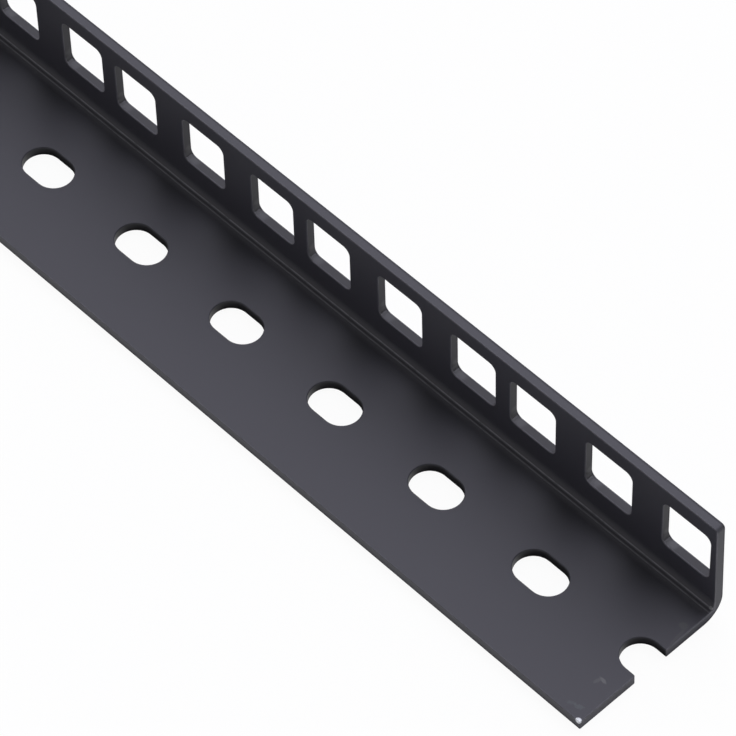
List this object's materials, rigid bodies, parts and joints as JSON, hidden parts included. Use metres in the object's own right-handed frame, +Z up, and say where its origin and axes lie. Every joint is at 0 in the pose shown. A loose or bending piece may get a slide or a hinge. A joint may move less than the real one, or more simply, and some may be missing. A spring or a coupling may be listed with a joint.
{
  "type": "rack rail",
  "caption": "Folded sheet-steel rack rail: an angle with square cage-nut holes at rack spacing in its narrow flange and bolt slots in its wide leg.",
  "frame": {"origin": "middle of the bounding box's bottom: half way along the rail, half way across it, on the leg's underside", "axes": "+X along the rail to the end nearest the camera in the picture, +Y towards the flange's outer face, +Z up along the flange"},
  "size_m": [0.2674, 0.03, 0.02],
  "materials": {
    "powder_coated_steel": "satin black powder coat over steel"
  },
  "bodies": {
    "root": {"rack_rail": "powder_coated_steel"}
  },
  "joints": []
}
